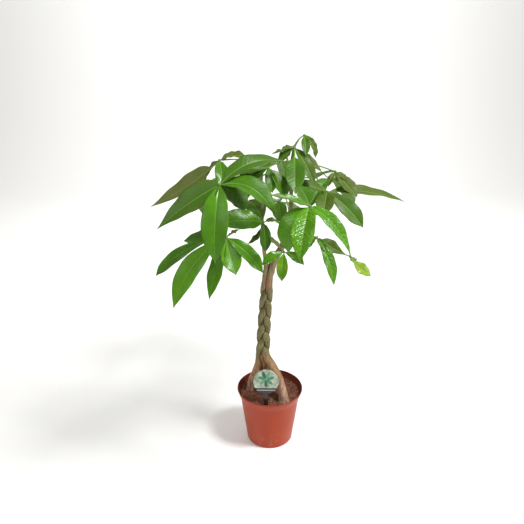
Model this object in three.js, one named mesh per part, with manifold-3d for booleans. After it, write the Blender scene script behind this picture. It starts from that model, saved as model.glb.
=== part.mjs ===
// Potted money tree: three young Pachira stems plaited into one trunk, in a round nursery pot.
// Millimetres, +Z up. The origin is the centre of the pot's base, and the front faces -Y.

import * as THREE from 'three';
import * as BufferGeometryUtils from 'three/addons/utils/BufferGeometryUtils.js';
import Module from 'manifold-3d';

const wasm = await Module();
wasm.setup();

// Driving dimensions
const POT_HEIGHT = 124;
const POT_RIM_RADIUS = 70;
const POT_BASE_RADIUS = 46;
const POT_WALL = 1.6;
const POT_FLOOR = 2.2;
const POT_SIDES = 32;
const DRAIN_HOLES = 6;
const DRAIN_HOLE_RADIUS = 4.5;
const DRAIN_HOLE_SIDES = 12;
const DRAIN_CUTTER_LENGTH = 10;
const DRAIN_RING_RADIUS = 29;

const SOIL_LEVEL = 111;
const SOIL_ROUGHNESS = 1.2;
const SOIL_MOUND = { height: 8, spread: 42, x: -10, y: -2 };
const SOIL_EDGE_DEPTH = 3;
const SOIL_RINGS = [0.25, 0.5, 0.75, 1];
const FIT_GAP = 0.3;

const BRAID_BOTTOM = 203;
const BRAID_TOP = 356;
const BRAID_TURNS = 510 / 360;
const BRAID_SWING = { bottom: 8, top: 6.7 };
const BRAID_DEPTH = { bottom: 4.6, top: 3.9 };
const BRAID_RADIUS = { bottom: 8.3, top: 7.1 };
const BRAID_LEAN = { bottom: -14.8, top: -7 };
const BRAID_TAPER = 0.5;
const BRAID_FLATTEN = 0.12;
const BRAID_BEND = 1.5;
const BRAID_STEPS = 28;
const STEM_SIDES = 8;
const STEM_GAP = 2.2;
const SLICE_SOFTNESS = 7;
const PRESSED_LENGTH = { bottom: 150, top: 392 };
const SLICE_STEP = { pressed: 4.4, free: 15 };

const BLADE_EDGE = 0.8;
const BLADE_RISE = 1.2;
const BLADE_FALL = 0.9;
const WIDEST_SHARE = 0.57;
const USUAL_BELLY = 0.55;
const BOW_MIDDLE = 0.45;
const RIB_THICKNESS = 1.5;
const RIB_THINNING = 0.4;
const ROOT_HALF_WIDTH = 1.1;
const ROOT_DEPTH = 1.8;
const WAVE_HEIGHT = 1.3;
const WAVE_TURN = 9;
const PETIOLE_RADIUS = 1.5;
const PETIOLE_STEPS = 6;
const PETIOLE_SIDES = 6;
const HUB_RADIUS = 3;

const TAG_RADIUS = 26;
const TAG_THICKNESS = 1;
const TAG_SIDES = 32;
const TAG_CENTRE = [-8, -44, 163.5];
const TAG_LEAN = 12;
const TAG_STAKE = { length: 64, width: 9, point: 8, lap: 6 };

// Solids

function toSolid(geometry) {
  const bare = geometry.index ? geometry.toNonIndexed() : geometry.clone();
  bare.deleteAttribute('normal');
  bare.deleteAttribute('uv');
  const merged = BufferGeometryUtils.mergeVertices(bare);
  const vertProperties = new Float32Array(merged.attributes.position.array);
  const corners = Array.from(merged.index.array);
  const triVerts = new Uint32Array(corners.filter((corner, i) => {
    const first = i - (i % 3);
    const [a, b, c] = corners.slice(first, first + 3);
    return a !== b && b !== c && c !== a;
  }));
  return new wasm.Manifold(new wasm.Mesh({ numProp: 3, vertProperties, triVerts }));
}

function toGeometry(solid) {
  const { vertProperties, triVerts } = solid.getMesh();
  const geometry = new THREE.BufferGeometry();
  geometry.setAttribute('position', new THREE.BufferAttribute(new Float32Array(vertProperties), 3));
  geometry.setIndex(new THREE.BufferAttribute(new Uint32Array(triVerts), 1));
  geometry.computeVertexNormals();
  return geometry;
}

function largestPiece(solid) {
  const pieces = solid.decompose();
  return pieces.reduce((best, piece) => (piece.volume() > best.volume() ? piece : best));
}

// A closed skin over a row of rings, each an array of points. A ring of one point is a tip.
// Faces from the ring's middle on are split the other way, so both faces of a blade match.
function skin(rings) {
  const positions = [];
  const starts = [];
  for (const ring of rings) {
    starts.push(positions.length / 3);
    ring.forEach((p) => positions.push(p.x, p.y, p.z));
  }
  const faces = [];
  for (let i = 0; i + 1 < rings.length; i += 1) {
    const count = Math.max(rings[i].length, rings[i + 1].length);
    for (let j = 0; j < count; j += 1) {
      const k = (j + 1) % count;
      const near = [starts[i] + j, starts[i] + k];
      const far = [starts[i + 1] + j, starts[i + 1] + k];
      if (rings[i + 1].length === 1) {
        faces.push(near[0], near[1], starts[i + 1]);
      } else if (rings[i].length === 1) {
        faces.push(starts[i], far[1], far[0]);
      } else if (j < count / 2) {
        faces.push(near[0], near[1], far[1], near[0], far[1], far[0]);
      } else {
        faces.push(near[0], near[1], far[0], near[1], far[1], far[0]);
      }
    }
  }
  const last = rings.length - 1;
  for (let j = 1; j + 1 < rings[0].length; j += 1) {
    faces.push(starts[0], starts[0] + j + 1, starts[0] + j);
  }
  for (let j = 1; j + 1 < rings[last].length; j += 1) {
    faces.push(starts[last], starts[last] + j, starts[last] + j + 1);
  }
  const geometry = new THREE.BufferGeometry();
  geometry.setAttribute('position', new THREE.Float32BufferAttribute(positions, 3));
  geometry.setIndex(faces);
  return geometry;
}

// Turns a profile of [radius, height] points about the upright axis
function turned(profile) {
  const points = profile.map(([radius, height]) => new THREE.Vector2(radius, height));
  return new THREE.LatheGeometry(points, POT_SIDES).rotateX(Math.PI / 2);
}

// Pot: a moulded flowerpot with a flared, rounded rim and drain holes in its floor.
// Its outside is a row of [radius, height] points from the base to the lip.

const POT_OUTSIDE = [
  [POT_BASE_RADIUS, 0], [49.4, 3], [52, 22], [55.6, 48], [59.3, 76], [62.1, 97], [64, 106],
  [67, 113], [POT_RIM_RADIUS, 121], [69, POT_HEIGHT],
];
const LIP_INSIDE = [67.4, POT_HEIGHT];

function potInside(gap) {
  const wall = POT_OUTSIDE.slice(1, -1).reverse();
  return wall.map(([radius, height]) => [radius - POT_WALL - gap, height]);
}

function makePot() {
  const profile = [[0, 0], ...POT_OUTSIDE, LIP_INSIDE, ...potInside(0), [0, POT_FLOOR]];
  let pot = toSolid(turned(profile));
  const hole = new THREE.CylinderGeometry(
    DRAIN_HOLE_RADIUS,
    DRAIN_HOLE_RADIUS,
    DRAIN_CUTTER_LENGTH,
    DRAIN_HOLE_SIDES,
  );
  hole.rotateX(Math.PI / 2).translate(DRAIN_RING_RADIUS, 0, 0);
  for (let i = 0; i < DRAIN_HOLES; i += 1) {
    pot = pot.subtract(toSolid(hole));
    hole.rotateZ((2 * Math.PI) / DRAIN_HOLES);
  }
  return pot;
}

// Soil: fills the pot to just below its rim, rough on top, with a plain hole for each foot

function soilTop(x, y) {
  const lumps = Math.sin(x * 0.21 + 1.3) * Math.cos(y * 0.17) + 0.6 * Math.sin(x * 0.11 - y * 0.24);
  const away = Math.hypot(x - SOIL_MOUND.x, y - SOIL_MOUND.y) / SOIL_MOUND.spread;
  return SOIL_LEVEL + SOIL_ROUGHNESS * lumps + SOIL_MOUND.height * Math.exp(-(away ** 2));
}

function makeSoil(standing) {
  const wall = potInside(FIT_GAP).filter(([, height]) => height < SOIL_LEVEL - SOIL_EDGE_DEPTH);
  const rings = SOIL_RINGS.map((share) => [share * wall[0][0], SOIL_LEVEL]);
  const outline = [[0, SOIL_LEVEL], ...rings, ...wall, [0, POT_FLOOR + FIT_GAP]];
  const geometry = turned(outline.reverse());
  const { position } = geometry.attributes;
  for (let i = 0; i < position.count; i += 1) {
    if (position.getZ(i) === SOIL_LEVEL) {
      position.setZ(i, soilTop(position.getX(i), position.getY(i)));
    }
  }
  return standing.reduce((soil, foot) => soil.subtract(foot), toSolid(geometry));
}

// Stems: each is a row of level slices. Between BRAID_BOTTOM and BRAID_TOP the slice centres
// follow a three-strand plait, x = swing (sin(a) + flatten sin(3a)), y = depth sin(2a), a third
// of a turn apart. Below it a spreading foot, above it a slimmer branch, as [z, x, y, radius].

const STEMS = [
  {
    name: 'stem_back_foot',
    turn: 0,
    foot: [[94, -3, 24, 9.6], [112, -4, 21, 9.6], [140, -7, 15, 10], [162, -9.5, 9, 10],
      [182, -12, 3, 9.2]],
    branch: [
      [374, -2, -3.6, 6.8], [392, 2, -3.5, 6.6], [407, 6.5, -3, 6.6], [420, 12.5, -2, 6.3],
      [432, 19, -1, 5.6], [446, 26, 0, 5], [470, 33, 2, 4.5], [520, 38, 4, 4],
      [560, 38, 6, 3.5], [600, 38, 8, 3], [628, 42, 10, 2.3], [640, 48, 14, 1.8],
    ],
    tip: [648, 54, 16],
  },
  {
    name: 'stem_front_foot',
    turn: 120,
    foot: [[94, 30, -37, 11.2], [112, 29.5, -35.5, 11], [140, 24.5, -30, 9.8],
      [160, 17.5, -24, 10.2], [181, 6, -14, 9.8]],
    branch: [
      [374, -10.5, 0, 6.2], [392, -9, 0, 5.6], [407, -9, 0, 4.8], [430, -12.5, 0, 3.8],
      [480, -16, -2, 3.4], [521, -17, -6, 3.1], [560, -18, -14, 2.7], [592, -16, -22, 2.1],
    ],
    tip: [603, -14, -26],
  },
  {
    name: 'stem_left_foot',
    turn: 240,
    foot: [[94, -43, 5, 8.2], [112, -42, 3, 8.2], [140, -37, 1, 9.2], [160, -29.5, 0.5, 9.8],
      [181, -23.5, 2, 8.8]],
    branch: [
      [374, -4.5, 5, 5.4], [392, -2, 6, 5], [407, 2.5, 8, 4.5], [425, 12, 13, 4],
      [440, 22, 23, 3.8], [460, 32, 38, 3.6], [490, 38, 54, 3.3], [530, 40, 68, 3],
      [570, 36, 78, 2.5], [600, 32, 85, 2],
    ],
    tip: [610, 31, 87],
  },
];

function braidSlice(turn, z) {
  const share = (z - BRAID_BOTTOM) / (BRAID_TOP - BRAID_BOTTOM);
  const at = ({ bottom, top }, taper = 1) => bottom + (top - bottom) * share ** taper;
  const angle = 2 * Math.PI * BRAID_TURNS * share + THREE.MathUtils.degToRad(turn);
  const wave = Math.sin(angle) + BRAID_FLATTEN * Math.sin(3 * angle);
  return [
    z,
    at(BRAID_LEAN, BRAID_BEND) + at(BRAID_SWING) * wave,
    at(BRAID_DEPTH) * Math.sin(2 * angle),
    at(BRAID_RADIUS, BRAID_TAPER),
  ];
}

// The stem's knots: foot, the whole braid in even steps, then the branch
function stemKnots({ turn, foot, branch }) {
  const braid = [];
  for (let i = 0; i <= BRAID_STEPS; i += 1) {
    braid.push(braidSlice(turn, BRAID_BOTTOM + ((BRAID_TOP - BRAID_BOTTOM) * i) / BRAID_STEPS));
  }
  return [...foot, ...braid, ...branch];
}

// A smooth value between knots, as a cubic whose slopes come from the neighbouring knots
function between(knots, z, item) {
  let i = knots.findIndex((knot) => knot[0] > z) - 1;
  if (i < 0) i = knots.length - 2;
  const slope = (a, b) => (knots[b][item] - knots[a][item]) / (knots[b][0] - knots[a][0]);
  const last = knots.length - 1;
  const step = knots[i + 1][0] - knots[i][0];
  const t = THREE.MathUtils.clamp((z - knots[i][0]) / step, 0, 1);
  const start = slope(Math.max(i - 1, 0), i + 1) * step;
  const end = slope(i, Math.min(i + 2, last)) * step;
  const rise = knots[i + 1][item] - knots[i][item];
  return knots[i][item] + start * t + (3 * rise - 2 * start - end) * t ** 2
    + (start + end - 2 * rise) * t ** 3;
}

// One level slice: a circle, pressed flat on the side where a neighbouring stem lies against it
function stemSlice(knots, others, z, grow) {
  const [x, y, radius] = [1, 2, 3].map((item) => between(knots, z, item));
  const walls = others.filter((other) => z <= other[other.length - 1][0]).map((other) => {
    const gap = [between(other, z, 1) - x, between(other, z, 2) - y];
    const distance = Math.hypot(...gap);
    const ratio = radius / (radius + between(other, z, 3));
    return { normal: gap.map((g) => g / distance), reach: distance * ratio - STEM_GAP / 2 };
  });
  const ring = [];
  for (let i = 0; i < STEM_SIDES; i += 1) {
    const angle = (2 * Math.PI * i) / STEM_SIDES;
    const [c, s] = [Math.cos(angle), Math.sin(angle)];
    let sum = radius ** -SLICE_SOFTNESS;
    for (const { normal, reach } of walls) {
      sum += (Math.max(0, c * normal[0] + s * normal[1]) / reach) ** SLICE_SOFTNESS;
    }
    const out = sum ** (-1 / SLICE_SOFTNESS) + grow;
    ring.push(new THREE.Vector3(x + c * out, y + s * out, z));
  }
  return ring;
}

// Slices lie close together where the stems press on each other, and wider apart elsewhere
function sliceHeights(knots) {
  const top = knots[knots.length - 1][0];
  const heights = [];
  let z = knots[0][0];
  while (z < top - SLICE_STEP.pressed / 2) {
    heights.push(z);
    const pressed = z > PRESSED_LENGTH.bottom && z < PRESSED_LENGTH.top;
    z += pressed ? SLICE_STEP.pressed : SLICE_STEP.free;
  }
  return [...heights, top];
}

function makeStem(stem, grow = 0) {
  const knots = stemKnots(stem);
  const others = STEMS.filter((other) => other !== stem).map(stemKnots);
  const rings = sliceHeights(knots).map((z) => stemSlice(knots, others, z, grow));
  const [z, x, y] = stem.tip;
  rings.push([new THREE.Vector3(x, y, z + grow)]);
  return toSolid(skin(rings));
}

function stemPoint(stem, z) {
  const knots = stemKnots(stem);
  return new THREE.Vector3(between(knots, z, 1), between(knots, z, 2), z);
}

// Leaves. Each has a petiole from its stem at height `from`, through the points `via`, to the
// hub, and a fan of leaflets. A leaflet is [tip x, y, z from the hub, bow, width, roll, fold,
// bare, belly]: bow is how high the rib arches over the straight line from hub to tip, roll turns
// the blade about its rib, and fold lifts its two halves into a V, both in degrees. Bare is the
// share of its length that is stalk, and belly the share of the blade where it is widest.

const [RIGHT, LEFT, BACK] = STEMS;

const LEAVES = [
  {
    name: 'leaf_front_left',
    stem: LEFT, from: 548, via: [[-46, -78, 572]], hub: [-81, -140, 587],
    leaflets: [
      [-6, -45, -117, 16, 45, 0, 12, 0, 0.5],
      [-102, -14, -70, 4, 45, -45, 14, 0, 0.31],
      [-36, 46, -60, 8, 36, -20, 16],
      [87, -12, -46, 20, 42, 30, 16, 0, 0.5],
      [40, 8, -44, 4, 52, 40, 16, 0, 0.5],
      [107, 66, 27, 17, 34, 25, 14, 0, 0.45],
    ],
  },
  {
    name: 'leaf_upper_left',
    stem: LEFT, from: 582, via: [[-50, -14, 608]], hub: [-92, -30, 611],
    leaflets: [
      [-127, -10, -83, -6, 42, -35, 16, 0.14, 0.35],
      [47, -8, 8, 4, 24, 25, 16],
      [10, -46, -46, 6, 26, 0, 16],
      [-31, -4, -46, 4, 26, -10, 16, 0, 0.45],
      [-100, 26, -107, 4, 44, -20, 16, 0.1, 0.55],
    ],
  },
  {
    name: 'leaf_low_left',
    stem: LEFT, from: 400, via: [[-50, -36, 442]], hub: [-79, -80, 483],
    leaflets: [
      [66, -16, -62, 6, 31, 35, 14],
      [19, -32, -60, -2, 37, 20, 16],
      [-91, -50, -116, 19, 40, -35, 12, 0.05, 0.56],
      [-30, -35, -106, 1, 31, -10, 14, 0, 0.5],
      [-84, 40, -20, 2, 32, -40, 20],
      [24, 10, 12, 0, 13, 0, 16, 0, 0.5],
      [-128, -10, -71, 15, 25, -55, 18, 0.08, 0.68],
    ],
  },
  {
    name: 'leaf_centre_left',
    stem: LEFT, from: 452, via: [[-14, -18, 474]], hub: [-14, -24, 496],
    leaflets: [
      [-87, -28, 8, 2, 48, -40, 14, 0, 0.47],
      [-28, 40, 34, 4, 40, -20, 16, 0, 0.6],
      [-30, -16, -39, -8, 14, -10, 14, 0.1, 0.5],
      [4, -8, -57, 3, 24, 10, 16, 0, 0.5],
      [36, -8, -50, -8, 18, 0, 16, 0.3, 0.6],
      [33, -4, -4, 6, 13, 20, 16, 0, 0.5],
    ],
  },
  {
    name: 'leaf_centre_top',
    stem: LEFT, from: 582, via: [[-10, -46, 589]], hub: [-5, -60, 601],
    leaflets: [
      [7, -26, -38, 4, 22, 0, 14],
      [-52, -26, -26, 4, 32, -35, 16],
      [-60, -14, -8, 3, 28, -30, 16],
      [30, -12, -52, 5, 34, 20, 16],
      [19, 30, 5, 2, 17, 0, 16],
    ],
  },
  {
    name: 'leaf_top',
    stem: RIGHT, from: 606, via: [[41, 4, 620]], hub: [42, 2, 630],
    leaflets: [
      [-42, -22, -10, 0, 12, 0, 24, 0, 0.6],
      [-29, -20, -28, 1, 25, -5, 20, 0, 0.5],
      [-1, -92, -68, 6, 37, 0, 12, 0.28, 0.5],
      [50, -16, -39, -3, 22, 35, 14, 0, 0.5],
      [36, -34, -62, 4, 26, 20, 14],
      [-16, 62, -20, 6, 24, 0, 18],
    ],
  },
  {
    name: 'leaf_tip',
    stem: RIGHT, from: 634, via: [[53, 20, 645]], hub: [61, 20, 650],
    leaflets: [
      [2, -32, -34, 4, 17, 0, 16],
      [21, -8, -40, 6, 17, 30, 18],
      [14, 40, -24, 4, 16, 0, 20],
    ],
  },
  {
    name: 'leaf_upper_right',
    stem: RIGHT, from: 592, via: [[80, 16, 596]], hub: [121, 20, 584],
    leaflets: [
      [-14, -14, -27, 3, 12, -30, 16],
      [34, -6, -26, 0, 20, 20, 16, 0, 0.5],
      [38, -34, -42, 0, 30, 20, 16, 0, 0.6],
      [26, 50, -46, 4, 26, 0, 18],
      [-40, 66, -30, 4, 28, 0, 18],
    ],
  },
  {
    name: 'leaf_mid_right',
    stem: RIGHT, from: 570, via: [[72, 0, 574]], hub: [104, -10, 551],
    leaflets: [
      [65, -32, -60, 5, 37, 40, 12, 0, 0.58],
      [-11, -54, -34, 4, 36, 0, 16, 0, 0.5],
      [-60, -22, 14, 3, 34, -25, 16],
      [165, 74, -34, 9, 29, 30, 18, 0, 0.5],
      [20, 56, -38, 8, 30, 0, 18, 0, 0.5],
    ],
  },
  {
    name: 'leaf_front_right',
    stem: RIGHT, from: 536, via: [[47, -78, 546]], hub: [61, -150, 555],
    leaflets: [
      [-64, -20, 22, 3, 16, -35, 16, 0, 0.45],
      [-32, -20, -72, 18, 45, -15, 12, 0, 0.54],
      [-17, -66, -71, 10, 40, 5, 22, 0, 0.5],
      [63, -40, -69, 12, 25, 25, 14, 0, 0.38],
      [-14, 54, 22, 3, 32, 0, 16],
      [12, 26, -22, 3, 22, 30, 16],
    ],
  },
  {
    name: 'leaf_far_right',
    stem: RIGHT, from: 488, via: [[100, -84, 527], [132, -80, 484]], hub: [146, -60, 441],
    leaflets: [
      [38, -12, -33, -3, 24, 35, 12, 0.15, 0.55],
      [-54, 14, 29, -3, 26, -40, 14, 0, 0.7],
      [14, 34, -26, 3, 14, 0, 16],
    ],
  },
  {
    name: 'leaf_low_right',
    stem: RIGHT, from: 470, via: [[56, -38, 482]], hub: [81, -72, 481],
    leaflets: [
      [32, -28, -81, 9, 22, 25, 12, 0, 0.58],
      [-30, -16, -22, 3, 22, -30, 14, 0, 0.5],
      [-6, 40, -28, 6, 20, 0, 16],
      [16, -16, -20, 2, 14, 30, 14],
    ],
  },
  {
    name: 'leaf_collar',
    stem: RIGHT, from: 436, via: [[22, -20, 444]], hub: [25, -40, 443],
    leaflets: [
      [-4, -20, -52, 5, 22, 0, 14],
      [-41, -20, -19, 4, 20, -35, 14],
      [37, -20, -19, 4, 19, 35, 16],
    ],
  },
  {
    name: 'leaf_back_left',
    stem: BACK, from: 540, via: [[-8, 104, 578]], hub: [-58, 130, 562],
    leaflets: [
      [-96, 30, -48, 10, 44, 0, 16],
      [-52, 90, -58, 12, 44, 0, 16],
      [28, 86, -66, 12, 40, 0, 16],
      [-72, -56, -48, 8, 40, -30, 16],
      [10, -40, -46, 8, 30, 0, 16],
    ],
  },
  {
    name: 'leaf_back_centre',
    stem: BACK, from: 584, via: [[30, 140, 604]], hub: [22, 184, 582],
    leaflets: [
      [-62, 70, -60, 12, 42, 0, 16],
      [20, 96, -70, 12, 44, 0, 16],
      [88, 44, -52, 10, 42, 0, 16],
      [-72, -22, -30, 8, 36, -30, 16],
      [40, -60, -40, 8, 32, 20, 16],
    ],
  },
  {
    name: 'leaf_back_right',
    stem: BACK, from: 566, via: [[86, 96, 580]], hub: [120, 110, 556],
    leaflets: [
      [70, 44, -46, 10, 40, 0, 16],
      [56, 80, -60, 12, 42, 0, 16],
      [-20, 84, -66, 12, 40, 0, 16],
      [50, -44, -46, 8, 34, 20, 16],
      [-40, -50, -50, 8, 32, -20, 16],
    ],
  },
  {
    name: 'leaf_low_back',
    stem: BACK, from: 490, via: [[30, 110, 516]], hub: [16, 140, 500],
    leaflets: [
      [-84, 30, -50, 12, 40, 0, 16],
      [-10, 96, -34, 10, 40, 0, 16],
      [56, 66, -66, 12, 40, 0, 16],
      [6, -60, -34, 6, 34, 20, 16],
    ],
  },
];

// Where a blade is cut across, as shares of its length
const STATIONS = [0.16, 0.38, 0.62, 0.84];

// A blade's width along it, as a share of its full width, which it reaches at its belly
function bladeShape(share, belly) {
  const s = share ** (Math.log(WIDEST_SHARE) / Math.log(belly));
  const width = (at) => at ** BLADE_RISE * (1 - at) ** BLADE_FALL;
  return width(s) / width(WIDEST_SHARE);
}

// A folded, slightly waved blade, thickest along its rib and pointed at its tip
function makeLeaflet(hub, [dx, dy, dz, bow, width, roll, fold, bare = 0, belly = USUAL_BELLY]) {
  const chord = new THREE.Vector3(dx, dy, dz);
  const side = new THREE.Vector3(dy, -dx, 0).normalize();
  const lift = side.clone().cross(chord).normalize();
  const root = hub.clone().addScaledVector(chord, ROOT_DEPTH / chord.length());
  const middle = hub.clone().addScaledVector(chord, BOW_MIDDLE).addScaledVector(lift, 2 * bow);
  const rib = new THREE.QuadraticBezierCurve3(root, middle, hub.clone().add(chord));
  const lean = THREE.MathUtils.degToRad(fold);
  const turn = THREE.MathUtils.degToRad(roll);
  const stalk = bare > 0 ? [0, bare] : [0];
  const rings = [...stalk, ...STATIONS.map((share) => bare + (1 - bare) * share)].map((s) => {
    const along = rib.getTangent(s);
    const across = side.clone().applyAxisAngle(along, turn);
    const up = across.clone().cross(along).normalize();
    const shape = bladeShape(Math.max(s - bare, 0) / (1 - bare), belly);
    const half = Math.max(ROOT_HALF_WIDTH, (width / 2) * shape);
    const wave = WAVE_HEIGHT * shape * Math.sin(WAVE_TURN * s + dx);
    const rib0 = rib.getPoint(s);
    const edge = (sign) => rib0.clone()
      .addScaledVector(across, sign * half * Math.cos(lean))
      .addScaledVector(up, half * Math.sin(lean) + sign * wave);
    const faceUp = (sign) => up.clone().multiplyScalar(Math.cos(lean))
      .addScaledVector(across, -sign * Math.sin(lean)).multiplyScalar(BLADE_EDGE / 2);
    const rise = up.clone().multiplyScalar((RIB_THICKNESS / 2) * (1 - RIB_THINNING * s));
    return [
      edge(-1).add(faceUp(-1)), rib0.clone().add(rise), edge(1).add(faceUp(1)),
      edge(1).sub(faceUp(1)), rib0.clone().sub(rise), edge(-1).sub(faceUp(-1)),
    ];
  });
  rings.push([rib.getPoint(1)]);
  return toSolid(skin(rings));
}

function makePetiole(points) {
  const curve = new THREE.CatmullRomCurve3(points, false, 'centripetal');
  const frames = curve.computeFrenetFrames(PETIOLE_STEPS);
  const rings = frames.tangents.map((_, i) => {
    const centre = curve.getPointAt(i / PETIOLE_STEPS);
    const ring = [];
    for (let j = 0; j < PETIOLE_SIDES; j += 1) {
      const angle = (2 * Math.PI * j) / PETIOLE_SIDES;
      ring.push(centre.clone()
        .addScaledVector(frames.normals[i], PETIOLE_RADIUS * Math.cos(angle))
        .addScaledVector(frames.binormals[i], PETIOLE_RADIUS * Math.sin(angle)));
    }
    return ring;
  });
  return toSolid(skin(rings));
}

// One leaf: petiole, hub knob and leaflets in one piece, cut back just clear of the stems
function makeLeaf({ stem, from, via, hub, leaflets }, stemsGrown) {
  const centre = new THREE.Vector3(...hub);
  const points = [stemPoint(stem, from), ...via.map((p) => new THREE.Vector3(...p)), centre];
  const knob = new THREE.IcosahedronGeometry(HUB_RADIUS, 0).translate(...hub);
  let leaf = makePetiole(points).add(toSolid(knob));
  leaflets.forEach((leaflet) => {
    leaf = leaf.add(makeLeaflet(centre, leaflet));
  });
  stemsGrown.forEach((grown) => {
    leaf = leaf.subtract(grown);
  });
  return largestPiece(leaf);
}

// Plant tag: a round plastic card on a pointed stake, pushed into the soil before the trunk

function makeTag(grow = 0) {
  const depth = TAG_THICKNESS + 2 * grow;
  const card = new THREE.CylinderGeometry(TAG_RADIUS, TAG_RADIUS, depth, TAG_SIDES);
  const half = TAG_STAKE.width / 2 + grow;
  const top = TAG_STAKE.lap - TAG_RADIUS;
  const shoulder = TAG_STAKE.point - TAG_STAKE.length;
  const stake = new THREE.Shape([
    new THREE.Vector2(-half, top), new THREE.Vector2(-half, shoulder),
    new THREE.Vector2(0, -TAG_STAKE.length - grow), new THREE.Vector2(half, shoulder),
    new THREE.Vector2(half, top),
  ]);
  const blade = new THREE.ExtrudeGeometry(stake, { depth, bevelEnabled: false });
  blade.translate(0, 0, -depth / 2).rotateX(Math.PI / 2);
  const tilt = THREE.MathUtils.degToRad(-TAG_LEAN);
  const solid = toSolid(card.rotateX(tilt).translate(...TAG_CENTRE));
  return solid.add(toSolid(blade.rotateX(tilt).translate(...TAG_CENTRE)));
}

// Assembly

const FINISHES = {
  pot: { color: 0xb8452c, roughness: 0.42 },
  soil: { color: 0x4a2a20, roughness: 0.95 },
  bark: { color: 0x7d7350, roughness: 0.8 },
  tag: { color: 0xcfd8c6, roughness: 0.35 },
  leaf: { color: 0x3f8a24, roughness: 0.4 },
};

const group = new THREE.Group();

function place(name, solid, finish) {
  const material = new THREE.MeshStandardMaterial({ ...finish, metalness: 0 });
  const mesh = new THREE.Mesh(toGeometry(solid), material);
  mesh.name = name;
  group.add(mesh);
}

const stemsGrown = STEMS.map((stem) => makeStem(stem, FIT_GAP));
place('pot', makePot(), FINISHES.pot);
place('soil', makeSoil([...stemsGrown, makeTag(FIT_GAP)]), FINISHES.soil);
STEMS.forEach((stem) => place(stem.name, makeStem(stem), FINISHES.bark));
place('plant_tag', makeTag(), FINISHES.tag);
LEAVES.forEach((leaf) => place(leaf.name, makeLeaf(leaf, stemsGrown), FINISHES.leaf));

export default group;
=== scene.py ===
# Potted money tree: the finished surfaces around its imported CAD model.
# Sizes and places are in millimetres, as in the CAD, and become metres when a mesh is made.
# The camera, the lamps, and places and bumps in materials are in Blender's own metres, but for
# the leaf's measures and the tag's face, which are in millimetres too.

import itertools
import math

import bpy
import numpy as np
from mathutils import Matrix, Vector


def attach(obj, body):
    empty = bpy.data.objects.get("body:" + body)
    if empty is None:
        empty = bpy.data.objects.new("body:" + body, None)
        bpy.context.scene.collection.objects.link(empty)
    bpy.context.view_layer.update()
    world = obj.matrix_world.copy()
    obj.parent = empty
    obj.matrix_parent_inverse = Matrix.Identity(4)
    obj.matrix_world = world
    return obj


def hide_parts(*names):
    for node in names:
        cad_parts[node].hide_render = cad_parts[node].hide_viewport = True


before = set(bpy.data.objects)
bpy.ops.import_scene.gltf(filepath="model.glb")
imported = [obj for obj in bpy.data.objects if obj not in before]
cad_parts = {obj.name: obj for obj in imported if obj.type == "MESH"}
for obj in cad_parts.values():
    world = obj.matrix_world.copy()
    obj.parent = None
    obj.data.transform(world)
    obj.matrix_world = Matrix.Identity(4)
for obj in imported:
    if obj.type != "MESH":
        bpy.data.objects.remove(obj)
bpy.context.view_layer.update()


# Camera
# It stands where the photograph was taken from: in front of the pot and just above the crown,
# looking down on it and turned a little to the left, by angles in degrees.

CAMERA_PLACE = (0, -0.900, 0.724)
CAMERA_DOWN = 19.3
CAMERA_LEFT = 1.08
CAMERA_LENS = 33.2
CAMERA_SENSOR = 36

camera = bpy.data.objects.new("camera", bpy.data.cameras.new("camera"))
camera.data.lens = CAMERA_LENS
camera.data.sensor_width = CAMERA_SENSOR
camera.location = CAMERA_PLACE
camera.rotation_euler = (math.radians(90 - CAMERA_DOWN), 0, math.radians(CAMERA_LEFT))
bpy.context.scene.collection.objects.link(camera)
bpy.context.scene.camera = camera


# Studio
# A pale paper sweep runs back from the pot and curves up behind it, in a white room. A large
# soft box lights the plant from the upper left, with a weaker one from the right and a small
# one overhead, and the last lights the paper behind.

SWEEP_WIDTH = 9000
SWEEP_FRONT = -3500
SWEEP_BACK = 2600
SWEEP_CURVE = 1500
SWEEP_TOP = 2300
SWEEP_STEPS = 24
MM = 0.001


def linear(hex_colour):
    """An sRGB colour such as "#B4472F" as linear red, green and blue, with alpha."""
    parts = [int(hex_colour[i:i + 2], 16) / 255 for i in (1, 3, 5)]
    return [p / 12.92 if p <= 0.04045 else ((p + 0.055) / 1.055) ** 2.4 for p in parts] + [1]


def connect(node, inputs):
    """Sets each named input of a node, or links it from a socket or a node's first live output."""
    for name, value in inputs.items():
        if isinstance(value, bpy.types.Node):
            value = next(output for output in value.outputs if output.enabled)
        if isinstance(value, bpy.types.NodeSocket):
            node.id_data.links.new(value, node.inputs[name])
        else:
            node.inputs[name].default_value = value


def add(tree, kind, inputs=None, **settings):
    """Adds a node of a kind, such as "TexNoise", with its settings, and connects its inputs."""
    node = tree.nodes.new("ShaderNode" + kind)
    for name, value in settings.items():
        setattr(node, name, value)
    connect(node, inputs or {})
    return node


def new_material(name):
    """A material with its node tree and the shader that is already in it."""
    material = bpy.data.materials.new(name)
    material.use_nodes = True
    return material, material.node_tree, material.node_tree.nodes["Principled BSDF"]


def set_attribute(mesh, label, values):
    """Stores one vector for each point of a mesh, for its material to read."""
    attribute = mesh.attributes.new(label, "FLOAT_VECTOR", "POINT")
    attribute.data.foreach_set("vector", np.asarray(values, np.float32).ravel())


def mesh_object(name, points, faces, material, attributes=None):
    """A smooth mesh object from points in millimetres, with a vector attribute for each entry."""
    mesh = bpy.data.meshes.new(name)
    mesh.from_pydata((np.asarray(points).reshape(-1, 3) * MM).tolist(), [], faces)
    for label, values in (attributes or {}).items():
        set_attribute(mesh, label, values)
    mesh.shade_smooth()
    mesh.materials.append(material)
    obj = bpy.data.objects.new(name, mesh)
    bpy.context.scene.collection.objects.link(obj)
    return obj


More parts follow.
